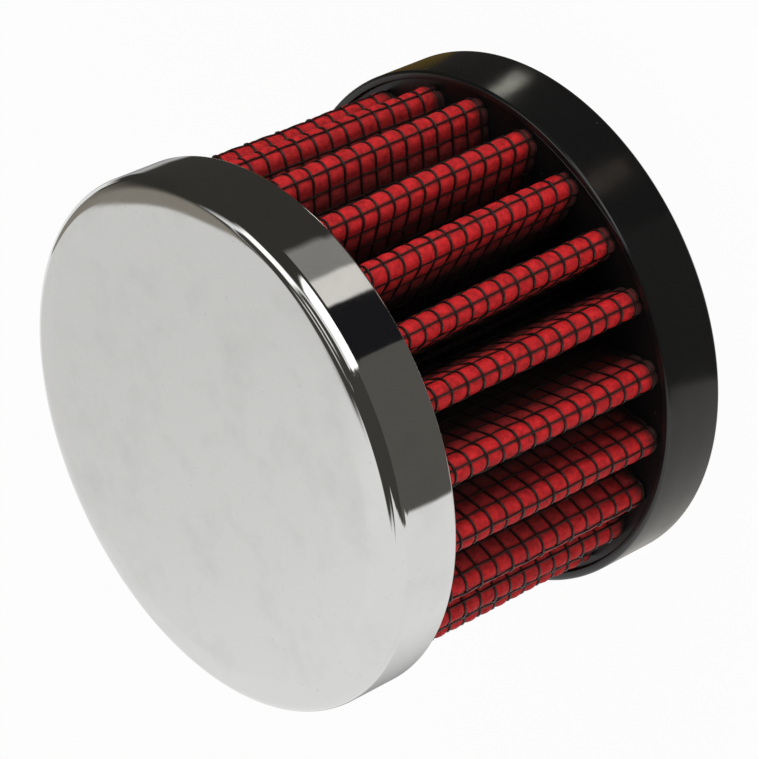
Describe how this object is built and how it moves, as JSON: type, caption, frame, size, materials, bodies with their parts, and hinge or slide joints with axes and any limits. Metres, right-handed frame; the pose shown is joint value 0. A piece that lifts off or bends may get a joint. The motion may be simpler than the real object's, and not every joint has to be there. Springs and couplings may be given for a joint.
{
  "type": "fuel vent filter",
  "caption": "Small round vent filter: a chrome end cup over a ring of pleated oiled gauze between black wire screens, on a moulded rubber base with a push-on hose neck.",
  "frame": {"origin": "centre of the neck's mouth, at the lowest level of the part", "axes": "+Z along the axis from the neck up to the cap, +X through a pleat crest"},
  "size_m": [0.0508, 0.0508, 0.052],
  "materials": {
    "chrome_cap": "chrome-plated stamped steel, polished",
    "black_urethane": "poured black urethane, satin",
    "black_rubber": "moulded black rubber, smooth and glossy",
    "oiled_gauze": "cotton gauze soaked in red oil",
    "coated_wire": "woven wire with a black coating"
  },
  "bodies": {
    "root": {"end_cap": "chrome_cap", "cap_seal": "black_urethane", "base": "black_rubber", "filter_media": "oiled_gauze", "outer_screen": "coated_wire", "inner_screen": "coated_wire"}
  },
  "joints": []
}
